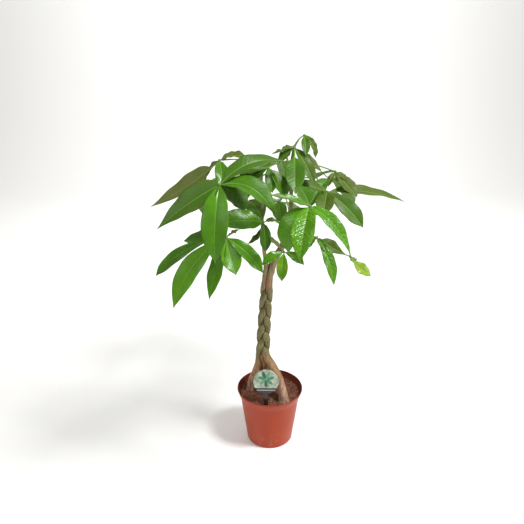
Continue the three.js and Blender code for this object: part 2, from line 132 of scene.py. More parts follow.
def sweep_points():
    """A profile carried along X: a level floor, a quarter circle of SWEEP_CURVE, then straight up."""
    turn = np.radians(np.linspace(0, 90, SWEEP_STEPS))
    y = np.concatenate([[SWEEP_FRONT], SWEEP_BACK + SWEEP_CURVE * np.sin(turn),
                        [SWEEP_BACK + SWEEP_CURVE]])
    z = np.concatenate([[0], SWEEP_CURVE * (1 - np.cos(turn)), [SWEEP_TOP]])
    x = np.full_like(y, SWEEP_WIDTH / 2)
    return np.stack([np.stack([-x, y, z], -1), np.stack([x, y, z], -1)], 1)


# Matt paper: an even, pale surface with no gloss
paper, tree, shader = new_material("matt_paper")
connect(shader, {"Base Color": linear("#F6F6F5"), "Roughness": 0.9})

points = sweep_points()
faces = [[2 * i, 2 * i + 1, 2 * i + 3, 2 * i + 2] for i in range(len(points) - 1)]
mesh_object("sweep", points, faces, paper)

# Each box: its place, its side, its power in watts and the place that it faces
LIGHTS = {
    "key_box": {"place": (-1.5, -1.7, 2.3), "size": 1.6, "power": 23, "aim": (0, 0, 0.42)},
    "fill_box": {"place": (1.8, -0.6, 1.6), "size": 0.7, "power": 13, "aim": (0, 0, 0.42)},
    "top_box": {"place": (0.9, -0.42, 1.9), "size": 0.4, "power": 32, "aim": (0, 0, 0.42)},
    "paper_box": {"place": (0, 1.6, 2.6), "size": 2.4, "power": 70, "aim": (0, 4.2, 0.6)},
}

for name, light in LIGHTS.items():
    lamp = bpy.data.objects.new(name, bpy.data.lights.new(name, "AREA"))
    lamp.data.size = light["size"]
    lamp.data.energy = light["power"]
    lamp.location = light["place"]
    away = Vector(light["place"]) - Vector(light["aim"])
    lamp.rotation_euler = away.to_track_quat("Z", "Y").to_euler()
    bpy.context.scene.collection.objects.link(lamp)

room = bpy.data.worlds.new("white_room")
room.use_nodes = True
connect(room.node_tree.nodes["Background"], {"Color": linear("#FBF9F5"), "Strength": 0.42})
bpy.context.scene.world = room
bpy.context.scene.view_settings.view_transform = "Standard"


# Pot
# A round nursery pot of terracotta-coloured polypropylene, injection moulded in one piece: a
# thin tapered wall, a rim that flares to a rounded lip, and six drain holes in its floor.

POT_WALL = 1.6
POT_FLOOR = 2.2
POT_LIP = 121
POT_TOP = 124
POT_BASE_RADIUS = 46
POT_BASE_EDGE = 3
POT_BASE_RINGS = [6, 20, 38]
# Height and outside radius, from the edge of the base to the lip
POT_OUTSIDE = [
    (3, 49.4), (22, 52), (48, 55.6), (76, 59.3), (97, 62.1), (106, 64), (113, 67), (121, 70),
]
POT_SIDES = 160
# Rows of points up the outside, down the inside, over the lip and round a corner
POT_ROWS = {"up": 70, "down": 50, "lip": 15, "corner": 9}
DRAIN_HOLES = 6
DRAIN_HOLE_RADIUS = 4.5
DRAIN_RING_RADIUS = 29
DRILL_ENDS = [-5, 8]
DRILL_SIDES = 32
SHARP_EDGE = 40


def smooth_curve(knots, values, at):
    """A cubic through each value at its knot, its slope there taken from the knots either side."""
    knots, values, at = (np.asarray(a, float) for a in (knots, values, at))
    before = np.maximum(np.arange(len(knots)) - 1, 0)
    after = np.minimum(np.arange(len(knots)) + 1, len(knots) - 1)
    slopes = ((values[after] - values[before]).T / (knots[after] - knots[before])).T
    i = np.clip(np.searchsorted(knots, at, side="right") - 1, 0, len(knots) - 2)
    step = knots[i + 1] - knots[i]
    t = np.clip((at - knots[i]) / step, 0, 1)
    if values.ndim > 1:
        step, t = step[:, None], t[:, None]
    rise = values[i + 1] - values[i]
    start, end = slopes[i] * step, slopes[i + 1] * step
    return values[i] + start * t + (3 * rise - 2 * start - end) * t**2 \
        + (start + end - 2 * rise) * t**3


def skin_faces(rows, around, first=0):
    """Quads between neighbouring rings of points, and a flat cap on each end."""
    row, column = np.meshgrid(np.arange(rows - 1), np.arange(around), indexing="ij")
    beside = (column + 1) % around
    corners = (row * around + column, row * around + beside,
               (row + 1) * around + beside, (row + 1) * around + column)
    quads = (np.stack(corners, -1).reshape(-1, 4) + first).tolist()
    last = first + (rows - 1) * around
    return quads + [list(range(first + around - 1, first - 1, -1)),
                    list(range(last, last + around))]


def turned(radii, heights, sides):
    """Rings of a profile turned about the upright axis: x = r cos(a), y = r sin(a), z = height."""
    angle = np.linspace(0, 2 * np.pi, sides, endpoint=False)
    radii, heights = np.asarray(radii)[:, None], np.asarray(heights)[:, None]
    return np.stack([radii * np.cos(angle), radii * np.sin(angle),
                     heights + 0 * angle], -1)


def pot_radius(height):
    """The outside radius at a height, as a smooth curve through POT_OUTSIDE."""
    knots, radii = zip(*POT_OUTSIDE)
    return smooth_curve(knots, radii, height)


def pot_profile():
    """Under the base outwards, round its edge, up the outside, over the lip and back down inside."""
    quarter = np.radians(np.linspace(0, 90, POT_ROWS["corner"]))
    half = np.radians(np.linspace(0, 180, POT_ROWS["lip"]))
    edge_reach = POT_OUTSIDE[0][1] - POT_BASE_RADIUS
    up = np.linspace(POT_BASE_EDGE, POT_LIP, POT_ROWS["up"])[1:-1]
    down = np.linspace(POT_LIP, 2 * POT_BASE_EDGE, POT_ROWS["down"])[1:]
    corner = pot_radius(down[-1]) - POT_WALL
    drop = down[-1] - POT_FLOOR
    parts = [
        (POT_BASE_RINGS, [0] * 3),
        (POT_BASE_RADIUS + edge_reach * np.sin(quarter), POT_BASE_EDGE * (1 - np.cos(quarter))),
        (pot_radius(up), up),
        (pot_radius(POT_LIP) - POT_WALL / 2 * (1 - np.cos(half)),
         POT_LIP + (POT_TOP - POT_LIP) * np.sin(half)),
        (pot_radius(down) - POT_WALL, down),
        (corner - drop * (1 - np.cos(quarter[1:])), down[-1] - drop * np.sin(quarter[1:])),
        (POT_BASE_RINGS[::-1], [POT_FLOOR] * 3),
    ]
    return [np.concatenate(column) for column in zip(*parts)]


def combine(obj, other, operation):
    """Joins or cuts one mesh object with another for good, and removes the other."""
    cut = obj.modifiers.new("cut", "BOOLEAN")
    cut.operation = operation
    cut.solver = "EXACT"
    cut.object = other
    graph = bpy.context.evaluated_depsgraph_get()
    mesh = bpy.data.meshes.new_from_object(obj.evaluated_get(graph))
    obj.modifiers.clear()
    obj.data = mesh
    bpy.data.objects.remove(other)


def settle(obj, slot, *nodes):
    """The piece rides on the one body and stands for its CAD nodes, which are hidden. Its slot is not
    used.
    """
    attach(obj, "root")
    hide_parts(*nodes)


def pot_material():
    """Moulded polypropylene: an even soft sheen, cloudy in the dye, dusty low down, darkened inside
    by painted shade with earth stain, and darker along the top of its lip. The clouds are 42 mm
    across and the scuffs 11 mm."""
    material, tree, shader = new_material("moulded_polypropylene_terracotta")
    place = add(tree, "TexCoord").outputs["Object"]
    height = add(tree, "SeparateXYZ", {0: place}).outputs["Z"]
    clouds = add(tree, "TexNoise", {"Vector": place, "Scale": 24, "Detail": 3})
    specks = add(tree, "TexNoise", {"Vector": place, "Scale": 420, "Detail": 2})
    scuffs = add(tree, "TexNoise", {"Vector": place, "Scale": 95, "Detail": 5, "Roughness": 0.7})
    low = add(tree, "MapRange", {"Value": height, "From Min": 0.05, "From Max": 0, "To Max": 0.55})
    rubbed = add(tree, "MapRange", {"Value": scuffs, "From Min": 0.5, "From Max": 0.74})
    dust = add(tree, "Math", {0: low, 1: rubbed}, operation="MULTIPLY")
    # Painted shade with earth stain: the whole inside of the pot is darkened, in patches from the
    # scuffs
    wall = add(tree, "Attribute", attribute_name="wall").outputs["Vector"]
    inside = add(tree, "SeparateXYZ", {0: wall}).outputs["X"]
    inside_darkening = add(tree, "MapRange", {"Value": scuffs, "From Min": 0.3, "From Max": 0.7,
                                   "To Min": 0.8, "To Max": 1})
    inside_shade_and_earth = add(tree, "Math", {0: inside, 1: inside_darkening}, operation="MULTIPLY")
    # The top of the lip is darkened as well
    lip = add(tree, "MapRange", {"Value": height, "From Min": 0.1215, "From Max": 0.1238,
                                 "To Max": 0.75})
    dark_inside_and_lip = add(tree, "Math", {0: inside_shade_and_earth, 1: lip}, operation="MAXIMUM")
    colour = linear("#982F0B")
    for share, over in ((clouds, "#AA3C12"), (dust, "#C4866D"), (dark_inside_and_lip, "#622814")):
        colour = add(tree, "Mix", {0: share, 6: colour, 7: linear(over)}, data_type="RGBA")
    sheen = add(tree, "MapRange", {"Value": scuffs, "To Min": 0.34, "To Max": 0.52})
    # Orange peel of the mould, drawn at 2.4 mm because the real 0.5 mm grain would not show
    skin = add(tree, "Bump", {"Height": specks, "Strength": 0.08, "Distance": 0.0006})
    connect(shader, {"Base Color": colour, "Roughness": sheen, "Normal": skin, "IOR": 1.49,
                     "Specular IOR Level": 0.36})
    return material


def inner_wall(obj):
    """A vector for each point whose first number is 1 inside the pot and 0 outside it."""
    places = np.empty(3 * len(obj.data.vertices), np.float32)
    obj.data.vertices.foreach_get("co", places)
    places = places.reshape(-1, 3) / MM
    within = np.hypot(places[:, 0], places[:, 1]) < pot_radius(places[:, 2]) - POT_WALL / 2
    return np.stack([within & (places[:, 2] > POT_FLOOR / 2)] + [0 * within] * 2, -1)


radii, heights = pot_profile()
pot = mesh_object("nursery_pot", turned(radii, heights, POT_SIDES),
                  skin_faces(len(radii), POT_SIDES), pot_material())

drill_angles = 2 * np.pi * np.arange(DRAIN_HOLES) / DRAIN_HOLES
drill = turned([DRAIN_HOLE_RADIUS] * 2, DRILL_ENDS, DRILL_SIDES)
centres = DRAIN_RING_RADIUS * np.stack(
    [np.cos(drill_angles), np.sin(drill_angles), 0 * drill_angles], -1)
drill_faces = [face for i in range(DRAIN_HOLES)
               for face in skin_faces(2, DRILL_SIDES, 2 * DRILL_SIDES * i)]
drills = mesh_object("drills", drill + centres[:, None, None, :], drill_faces, paper)
combine(pot, drills, "DIFFERENCE")
set_attribute(pot.data, "wall", inner_wall(pot))
pot.data.set_sharp_from_angle(angle=math.radians(SHARP_EDGE))
settle(pot, "pot", "pot")


# Soil
# Damp peat and bark compost: a rough brown bed that fills the pot to below its lip, mounded
# at the trunk, with loose crumbs of bark and a few pale grains lying on it.

SOIL_LEVEL = 111
SOIL_ROUGHNESS = 1.2
SOIL_MOUND = {"height": 8, "spread": 42, "x": -10, "y": -2}
SOIL_LUMPS = 0.9
SOIL_GAP = 0.3
SOIL_CORNER = 4
SOIL_EDGE_DROP = 2
SOIL_SIDES = 300
SOIL_SIDE_ROWS = 12
SOIL_TOP_ROWS = 84
LATTICE = 64
CRUMBS = 760
CRUMB_SEED = 11
CRUMB_SPREAD = 66
CRUMB_LIFT = 0.4
CRUMB_RADIUS = (0.7, 2.3)
CRUMB_STRETCH = (0.45, 1.0)
CRUMB_JAGGEDNESS = (0.7, 1.25)
PALE_CRUMBS = 0.09


def rough(x, y, size, seed):
    """Random heights from -1 to 1 on a square lattice of that size, eased from corner to corner."""
    lattice = np.random.default_rng(seed).uniform(-1, 1, (LATTICE, LATTICE))
    column, row = np.floor(x / size).astype(int), np.floor(y / size).astype(int)
    across, up = x / size - column, y / size - row
    across, up = across**2 * (3 - 2 * across), up**2 * (3 - 2 * up)
    column, row = column % (LATTICE - 1), row % (LATTICE - 1)
    low = lattice[column, row] * (1 - across) + lattice[column + 1, row] * across
    high = lattice[column, row + 1] * (1 - across) + lattice[column + 1, row + 1] * across
    return low * (1 - up) + high * up


def soil_height(x, y):
    """The bed's level, long sines and a mound, with lumps 9, 4 and 2 mm across laid over it."""
    waves = np.sin(0.21 * x + 1.3) * np.cos(0.17 * y) + 0.6 * np.sin(0.11 * x - 0.24 * y)
    away = np.hypot(x - SOIL_MOUND["x"], y - SOIL_MOUND["y"]) / SOIL_MOUND["spread"]
    lumps = rough(x, y, 9, 1) + 0.75 * rough(x, y, 4.2, 2) + 0.5 * rough(x, y, 2, 3)
    return SOIL_LEVEL + SOIL_ROUGHNESS * waves + SOIL_MOUND["height"] * np.exp(-away**2) \
        + SOIL_LUMPS * lumps


def soil_rings():
    """Out under the bed, up inside the pot's wall, and back in over the rough top."""
    rise = np.linspace(2 * POT_BASE_EDGE, SOIL_LEVEL - SOIL_EDGE_DROP, SOIL_SIDE_ROWS)
    side = pot_radius(rise) - POT_WALL - SOIL_GAP
    top = np.linspace(side[-1], 1, SOIL_TOP_ROWS)[1:]
    radii = np.concatenate([[SOIL_CORNER, side[0] - SOIL_CORNER], side, top])
    heights = np.concatenate([[POT_FLOOR + SOIL_GAP] * 2, rise, 0 * top])
    rings = turned(radii, heights, SOIL_SIDES)
    surface = rings[-len(top):]
    surface[..., 2] = soil_height(surface[..., 0], surface[..., 1])
    return rings


# The twelve corners of a twenty-sided grain, 2 apart where an edge joins them
golden = (1 + 5**0.5) / 2
flat = [(a, b * golden) for a in (-1, 1) for b in (-1, 1)]
grain_corners = np.array([(0, a, b) for a, b in flat] + [(a, b, 0) for a, b in flat]
                         + [(b, 0, a) for a, b in flat])


def grain_faces():
    """The grain's triangles: three corners that edges join, each turned to face outwards."""
    faces = []
    for a, b, c in itertools.combinations(range(len(grain_corners)), 3):
        p, q, r = grain_corners[[a, b, c]]
        if np.allclose([np.linalg.norm(p - q), np.linalg.norm(q - r), np.linalg.norm(r - p)], 2):
            outward = np.cross(q - p, r - p) @ p > 0
            faces.append((a, b, c) if outward else (a, c, b))
    return np.array(faces)


def crumb_points(count, random):
    """Grains, each stretched three ways, turned at random and sunk in the bed nearly half way."""
    corners = grain_corners / np.linalg.norm(grain_corners[0])
    grain = corners * random.uniform(*CRUMB_JAGGEDNESS, (count, len(corners), 1))
    grain = grain * random.uniform(*CRUMB_STRETCH, (count, 1, 3))
    grain = grain * random.uniform(*CRUMB_RADIUS, (count, 1, 1))
    turns = np.linalg.qr(random.normal(size=(count, 3, 3)))[0]
    turns[:, :, 0] *= np.linalg.det(turns)[:, None]
    grain = np.einsum("nij,nkj->nki", turns, grain)
    distance = CRUMB_SPREAD * np.sqrt(random.uniform(0.02, 1, count))
    angle = random.uniform(0, 2 * np.pi, count)
    x, y = distance * np.cos(angle), distance * np.sin(angle)
    return grain + np.stack([x, y, soil_height(x, y) + CRUMB_LIFT], -1)[:, None, :]


def soil_material():
    """Damp compost: dark brown with a red cast, crumbly, dull but for a faint dampness. Its clods
    are 14 mm across and its fibres 2 mm."""
    material, tree, shader = new_material("damp_peat_compost")
    place = add(tree, "TexCoord").outputs["Object"]
    clods = add(tree, "TexNoise", {"Vector": place, "Scale": 70, "Detail": 4})
    fibres = add(tree, "TexNoise", {"Vector": place, "Scale": 520, "Detail": 4, "Roughness": 0.7})
    grain = add(tree, "Attribute", attribute_name="grain").outputs["Vector"]
    barky, pale, _ = add(tree, "SeparateXYZ", {0: grain}).outputs
    tone = add(tree, "MapRange", {"Value": clods, "From Min": 0.32, "From Max": 0.68})
    fine = add(tree, "MapRange", {"Value": fibres, "From Min": 0.4, "From Max": 0.75,
                                  "To Max": 0.6})
    layers = [(tone, "#78422C"), (fine, "#8C5C46"), (barky, "#4C2B1E"), (pale, "#96705C")]
    colour = linear("#3C1E13")
    for share, over in layers:
        colour = add(tree, "Mix", {0: share, 6: colour, 7: linear(over)}, data_type="RGBA")
    dent = add(tree, "Bump", {"Height": fibres, "Strength": 0.7, "Distance": 0.0012})
    connect(shader, {"Base Color": colour, "Normal": dent, "Roughness": 0.88})
    return material


rings = soil_rings()
random = np.random.default_rng(CRUMB_SEED)
grains = crumb_points(CRUMBS, random)
# For the material: how barky a grain is, and whether it is a pale one
kinds = np.zeros_like(grains)
kinds[..., 0] = random.uniform(0, 1, (CRUMBS, 1))
kinds[..., 1] = random.uniform(0, 1, (CRUMBS, 1)) < PALE_CRUMBS
bed = rings.reshape(-1, 3)
first_corners = len(bed) + len(grain_corners) * np.arange(CRUMBS)
crumb_faces = (first_corners[:, None, None] + grain_faces()).reshape(-1, 3)
soil = mesh_object("compost", np.concatenate([bed, grains.reshape(-1, 3)]),
                   skin_faces(len(rings), SOIL_SIDES) + crumb_faces.tolist(), soil_material(),
                   {"grain": np.concatenate([np.zeros_like(bed), kinds.reshape(-1, 3)])})
settle(soil, "soil", "soil")


# Stems
# Three young Pachira trunks, planted together and plaited while soft, so that each is pressed
# flat where it lies on its neighbour. Smooth olive bark, tan and swollen at the feet.

# The plait: where it starts and ends, its turns, and pairs for its bottom and its top
BRAID_BOTTOM = 203
BRAID_TOP = 356
BRAID_TURNS = 510 / 360
BRAID_SWING = (8.0, 6.7)
BRAID_DEPTH = (4.6, 3.9)
BRAID_RADIUS = (8.3, 7.1)
BRAID_LEAN = (-14.8, -7.0)
BRAID_TAPER = 0.5
BRAID_FLATTEN = 0.12
BRAID_BEND = 1.5
BRAID_STEPS = 28
STEM_GAP = 0.5
SLICE_SOFTNESS = 8
STEM_SIDES = 44
SLICE_STEP = 1.5
FIRST_BARK_SEED = 21

# The bark: how far each form stands out, their sizes and places, the middle of the fork of the
# feet, and the scar where the plait was tied
RELIEF = {"wrinkles": 0.16, "lumps": 0.28, "knuckles": 0.4, "leaf scars": 0.35, "flare": 1.6,
          "flare's lobes": 0.8}
WRINKLE_SIZE = 1.5
WRINKLE_STRETCH = 7
LUMP_SIZE = 9
LEAF_SCAR_SPACING = 19
LEAF_SCAR_WIDTH = 1.3
LEAF_SCARS_FROM = 368
LEAF_SCARS_FADE = 20
FLARE_HEIGHT = 104
FLARE_SPREAD = 11
KNUCKLE_TOP = 110
KNUCKLE_FADE = 90
FULL_BARK_RADIUS = 6
FORK_X = -12
TIE_SCAR = (-7, -12, 368)
TIE_SCAR_REACH = (13, 15, 16)

# Knots of the foot and of the branch, each as height, x, y and radius
STEMS = {
    "stem_back_foot": {
        "turn": 0,
        "foot": [(94, -3, 24, 9.6), (112, -4, 21, 9.6), (140, -7, 15, 10),
                 (162, -9.5, 9, 10), (182, -12, 3, 9.2)],
        "branch": [(374, -2, -3.6, 6.8), (392, 2, -3.5, 6.6), (407, 6.5, -3, 6.6),
                   (420, 12.5, -2, 6.3), (432, 19, -1, 5.6), (446, 26, 0, 5), (470, 33, 2, 4.5),
                   (520, 38, 4, 4), (560, 38, 6, 3.5),
                   (600, 38, 8, 3), (628, 42, 10, 2.3), (640, 48, 14, 1.8), (648, 54, 16, 0.5)],
    },
    "stem_front_foot": {
        "turn": 120,
        "foot": [(94, 30, -37, 11.2), (112, 29.5, -35.5, 11), (140, 24.5, -30, 9.8),
                 (160, 17.5, -24, 10.2), (181, 6, -14, 9.8)],
        "branch": [(374, -10.5, 0, 6.2), (392, -9, 0, 5.6), (407, -9, 0, 4.8),
                   (430, -12.5, 0, 3.8), (480, -16, -2, 3.4), (521, -17, -6, 3.1),
                   (560, -18, -14, 2.7), (592, -16, -22, 2.1), (603, -14, -26, 0.5)],
    },
    "stem_left_foot": {
        "turn": 240,
        "foot": [(94, -43, 5, 8.2), (112, -42, 3, 8.2), (140, -37, 1, 9.2),
                 (160, -29.5, 0.5, 9.8), (181, -23.5, 2, 8.8)],
        "branch": [(374, -4.5, 5, 5.4), (392, -2, 6, 5), (407, 2.5, 8, 4.5), (425, 12, 13, 4),
                   (440, 22, 23, 3.8), (460, 32, 38, 3.6), (490, 38, 54, 3.3), (530, 40, 68, 3),
                   (570, 36, 78, 2.5), (600, 32, 85, 2), (610, 31, 87, 0.5)],
    },
}


def braid_knots(turn):
    """Plait slices: x = lean + swing (sin(a) + flatten sin(3a)), y = depth sin(2a), with a growing
    evenly upwards, so that a stem lies a while along the edge before it crosses over."""
    share = np.linspace(0, 1, BRAID_STEPS + 1)
    angle = 2 * np.pi * BRAID_TURNS * share + math.radians(turn)
    swing, depth = (low + (high - low) * share for low, high in (BRAID_SWING, BRAID_DEPTH))
    lean = BRAID_LEAN[0] + (BRAID_LEAN[1] - BRAID_LEAN[0]) * share**BRAID_BEND
    radius = BRAID_RADIUS[0] + (BRAID_RADIUS[1] - BRAID_RADIUS[0]) * share**BRAID_TAPER
    height = BRAID_BOTTOM + (BRAID_TOP - BRAID_BOTTOM) * share
    x = lean + swing * (np.sin(angle) + BRAID_FLATTEN * np.sin(3 * angle))
    return np.stack([height, x, depth * np.sin(2 * angle), radius], -1)


stem_knots = {name: np.concatenate([stem["foot"], braid_knots(stem["turn"]), stem["branch"]])
              for name, stem in STEMS.items()}


def stem_slices(name, heights):
    """x, y and radius of a stem at each height."""
    knots = stem_knots[name]
    return smooth_curve(knots[:, 0], knots[:, 1:], heights).T


def bark_relief(points, radius, height, angle, seed):
    """How far the bark stands out: long wrinkles, soft lumps that are strongest on the knuckles of
    the feet, rings of leaf scars above the plait, and a flare at the roots."""
    east, north = points[..., 0] + 40 * seed, points[..., 1] + 40 * seed
    drawn_out = height / WRINKLE_STRETCH
    wrinkles = rough(east, drawn_out, WRINKLE_SIZE, seed) \
        + rough(north, drawn_out, WRINKLE_SIZE, seed + 1)
    lumps = rough(east, height, LUMP_SIZE, seed + 2) + rough(north, height, LUMP_SIZE, seed + 3)
    from_scar = (height + 1.5 * np.sin(angle + seed)) % LEAF_SCAR_SPACING - LEAF_SCAR_SPACING / 2
    scars = np.exp(-(from_scar / LEAF_SCAR_WIDTH) ** 2)
    above = np.clip((height - LEAF_SCARS_FROM) / LEAF_SCARS_FADE, 0, 1)
    lobes = RELIEF["flare"] + RELIEF["flare's lobes"] * np.sin(3 * angle + seed)
    flare = np.exp(-((height - FLARE_HEIGHT) / FLARE_SPREAD) ** 2) * lobes
    knuckle = np.clip(1 - (height - KNUCKLE_TOP) / KNUCKLE_FADE, 0, 1)
    thin = np.clip(radius / FULL_BARK_RADIUS, 0, 1)
    return thin * (RELIEF["wrinkles"] * wrinkles
                   + (RELIEF["lumps"] + RELIEF["knuckles"] * knuckle) * lumps
                   + RELIEF["leaf scars"] * above * scars) + flare


def stem_rings(name, seed):
    """Level rings: a circle, pressed in by a soft minimum towards each neighbouring stem, with the
    bark's relief laid over it where it isn't pressed. Also how far each point is pressed in."""
    knots = stem_knots[name]
    heights = np.append(np.arange(knots[0, 0], knots[-1, 0], SLICE_STEP), knots[-1, 0])
    x, y, radius = stem_slices(name, heights)[..., None]
    level = heights[:, None] + np.zeros(STEM_SIDES)
    angle = np.linspace(0, 2 * np.pi, STEM_SIDES, endpoint=False)
    total = radius ** -SLICE_SOFTNESS + 0 * angle
    for other in stem_knots:
        if other == name:
            continue
        other_x, other_y, other_radius = stem_slices(other, heights)[..., None]
        distance = np.hypot(other_x - x, other_y - y)
        towards = (np.cos(angle) * (other_x - x) + np.sin(angle) * (other_y - y)) / distance
        reach = np.maximum(distance * radius / (radius + other_radius) - STEM_GAP / 2, 0.5)
        beside = level <= stem_knots[other][-1, 0]
        total = total + beside * (np.maximum(towards, 0) / reach) ** SLICE_SOFTNESS
    out = total ** (-1 / SLICE_SOFTNESS)
    pressed = 1 - out / radius
    ring = np.stack([x + radius * np.cos(angle), y + radius * np.sin(angle), level], -1)
    relief = bark_relief(ring, radius, level, angle, seed)
    out = out + (1 - 0.8 * np.clip(3 * pressed, 0, 1)) * relief
    return np.stack([x + out * np.cos(angle), y + out * np.sin(angle), level], -1), pressed


def bark_material():
    """Young Pachira bark: olive and finely streaked, tan at the foot, reddish where it was tied, and
    darkened by painted shade in the creases where the stems press together.
    The streaks are 2.3 mm wide and 15 mm long. Pores lie 4 mm apart around and 2 mm upwards."""
    material, tree, shader = new_material("young_pachira_bark")
    place = add(tree, "TexCoord").outputs["Object"]
    across, _, height = add(tree, "SeparateXYZ", {0: place}).outputs
    upright = add(tree, "Mapping", {"Vector": place, "Scale": (1, 1, 0.16)})
    level = add(tree, "Mapping", {"Vector": place, "Scale": (1, 1, 2.6)})
    wander = add(tree, "TexNoise", {"Vector": place, "Scale": 60, "Detail": 3})
    torn = add(tree, "TexNoise", {"Vector": place, "Scale": 190, "Detail": 3})
    blotches = add(tree, "TexNoise", {"Vector": upright, "Scale": 150, "Detail": 3})
    streaks = add(tree, "TexNoise", {"Vector": upright, "Scale": 430, "Detail": 4,
                                     "Roughness": 0.65})
    pores = add(tree, "TexVoronoi", {"Vector": level, "Scale": 230})

    # The tan of the feet climbs highest in the middle of the fork
    shifted = add(tree, "Math", {0: wander, 1: 0.05, 2: height}, operation="MULTIPLY_ADD")
    centred = add(tree, "Math", {0: across, 1: -FORK_X * MM}, operation="ADD")
    aside = add(tree, "Math", {0: centred}, operation="ABSOLUTE")
    peaked = add(tree, "Math", {0: aside, 1: shifted}, operation="ADD")
    # Each band of the bark starts at its first height and is whole at its second
    bands = ((peaked, 0.247, 0.217), (shifted, 0.205, 0.160), (shifted, 0.366, 0.398),
             (shifted, 0.47, 0.60))
    foot, ground, above, twig = (
        add(tree, "MapRange", {"Value": value, "From Min": start, "From Max": whole},
            interpolation_type="SMOOTHSTEP") for value, start, whole in bands)
    blotch = add(tree, "MapRange", {"Value": blotches, "From Min": 0.46, "From Max": 0.6,
                                    "To Max": 0.7})
    tan = linear("#AC8058")
    for share, over in ((ground, "#B28E76"), (blotch, "#7E5A42")):
        tan = add(tree, "Mix", {0: share, 6: tan, 7: linear(over)}, data_type="RGBA")
    colour = add(tree, "Mix", {0: foot, 6: linear("#787146"), 7: tan}, data_type="RGBA")

    # The scar is rubbed in patches, strongest to the right of the front
    scar_place = add(tree, "Mapping", {"Vector": place, "Location": [v * MM for v in TIE_SCAR],
                                       "Scale": [v * MM for v in TIE_SCAR_REACH]},
                     vector_type="TEXTURE")
    from_scar = add(tree, "VectorMath", {0: scar_place}, operation="LENGTH")
    ragged = add(tree, "Math", {0: torn, 1: 2.4, 2: from_scar}, operation="MULTIPLY_ADD")
    tie = add(tree, "MapRange", {"Value": ragged, "From Min": 2.3, "From Max": 1.1,
                                 "To Max": 0.8}, interpolation_type="SMOOTHSTEP")
    for share, over in ((above, "#9A8560"), (twig, "#667236"), (tie, "#B26A52")):
        colour = add(tree, "Mix", {0: share, 6: colour, 7: linear(over)}, data_type="RGBA")
    streak = add(tree, "MapRange", {"Value": streaks, "From Min": 0.38, "From Max": 0.66,
                                    "To Min": 0.6, "To Max": 1.32})
    colour = add(tree, "VectorMath", {0: colour, 1: streak}, operation="MULTIPLY")

    # Painted shade: where two stems press together the crease is darkened, less so above where the
    # plait was tied
    press = add(tree, "Attribute", attribute_name="press").outputs["Vector"]
    pressed = add(tree, "SeparateXYZ", {0: press}).outputs["X"]
    dark = add(tree, "MapRange", {"Value": pressed, "From Min": 0.08, "From Max": 0.5,
                                  "To Max": 0.42})
    shade_fade = add(tree, "MapRange", {"Value": above, "To Min": 1, "To Max": 0.3})
    crease_shade = add(tree, "Math", {0: dark, 1: shade_fade}, operation="MULTIPLY")
    pore = add(tree, "MapRange", {"Value": pores, "From Min": 0.24, "From Max": 0.12,
                                  "To Max": 0.5})
    for share, over in ((pore, "#B3A684"), (crease_shade, "#3A3520")):
        colour = add(tree, "Mix", {0: share, 6: colour, 7: linear(over)}, data_type="RGBA")
    grain = add(tree, "Bump", {"Height": streaks, "Strength": 0.55, "Distance": 0.0009})
    raised = add(tree, "Bump", {"Height": pore, "Strength": 0.4, "Distance": 0.0006,
                                "Normal": grain})
    connect(shader, {"Base Color": colour, "Normal": raised, "Roughness": 0.66})
    return material


bark = bark_material()
for seed, name in enumerate(STEMS, start=FIRST_BARK_SEED):
    points, pressed = stem_rings(name, seed)
    press = np.zeros_like(points)
    press[..., 0] = pressed
    trunk = mesh_object("bark_" + name, points, skin_faces(*points.shape[:2]), bark,
                        {"press": press})
    settle(trunk, "bark", name)


# Leaves
# Palmate Pachira leaves: a thin stalk, a small swollen hub, and three to seven leathery leaflets
# that fold up along a pale rib, with side veins sunk into a glossy upper face.

BLADE_THICKNESS = 0.45
BLADE_ROWS = 50
BLADE_COLUMNS = 23
RIB_DEPTH = 0.9
RIB_THINNING = 0.75
RIB_HALF_WIDTH = 1.0
RIB_GROOVE = 0.5
ROOT_HALF_WIDTH = 1.1
ROOT_DEPTH = 1.8
TIP_HALF_WIDTH = 0.12
ARCH_SHARE = 0.45
# Height of the wave and of the ripple, and how many radians of each run along a blade
WAVE_HEIGHT = 1.3
WAVE_RUN = 9
RIPPLE_HEIGHT = 0.9
RIPPLE_RUN = 23
SWELL_HEIGHT = 0.42
# The side veins, in the mesh and in the material alike
VEIN_SPACING = 8.5
VEIN_SLANT = 0.62
VEIN_BEND = 0.02
STALK_RADIUS = 1.25
STALK_STEPS = 40
STALK_SIDES = 12
STALK_SWELLING = {"at": 7, "spread": 5, "share": 0.5}
HUB_RADIUS = 2.6
HUB_STEPS = 6
RIGHT, LEFT, BACK = STEMS

# How strongly the blades of the young leaves to the front are puckered, by leaf and leaflet
PUCKERS = {("leaf_front_right", 1): 0.25, ("leaf_front_right", 2): 1,
           ("leaf_front_right", 3): 0.8, ("leaf_low_right", 0): 0.5}
# Leaf colours from the newest to the oldest
LEAF_COLOURS = [(0, "#8E9A34"), (0.2, "#5C940A"), (0.42, "#487E08"), (0.62, "#3A620A"),
                (0.8, "#485C1A"), (1, "#5E6432")]

# How wide a leaflet is along its length, as a share of its full width
BLADE_OUTLINE = [(0, 0.03), (0.05, 0.10), (0.16, 0.40), (0.27, 0.66), (0.38, 0.86), (0.57, 1),
                 (0.72, 0.92), (0.84, 0.66), (0.92, 0.33), (0.965, 0.12), (1, 0)]
BLADE_BELLY = 0.57

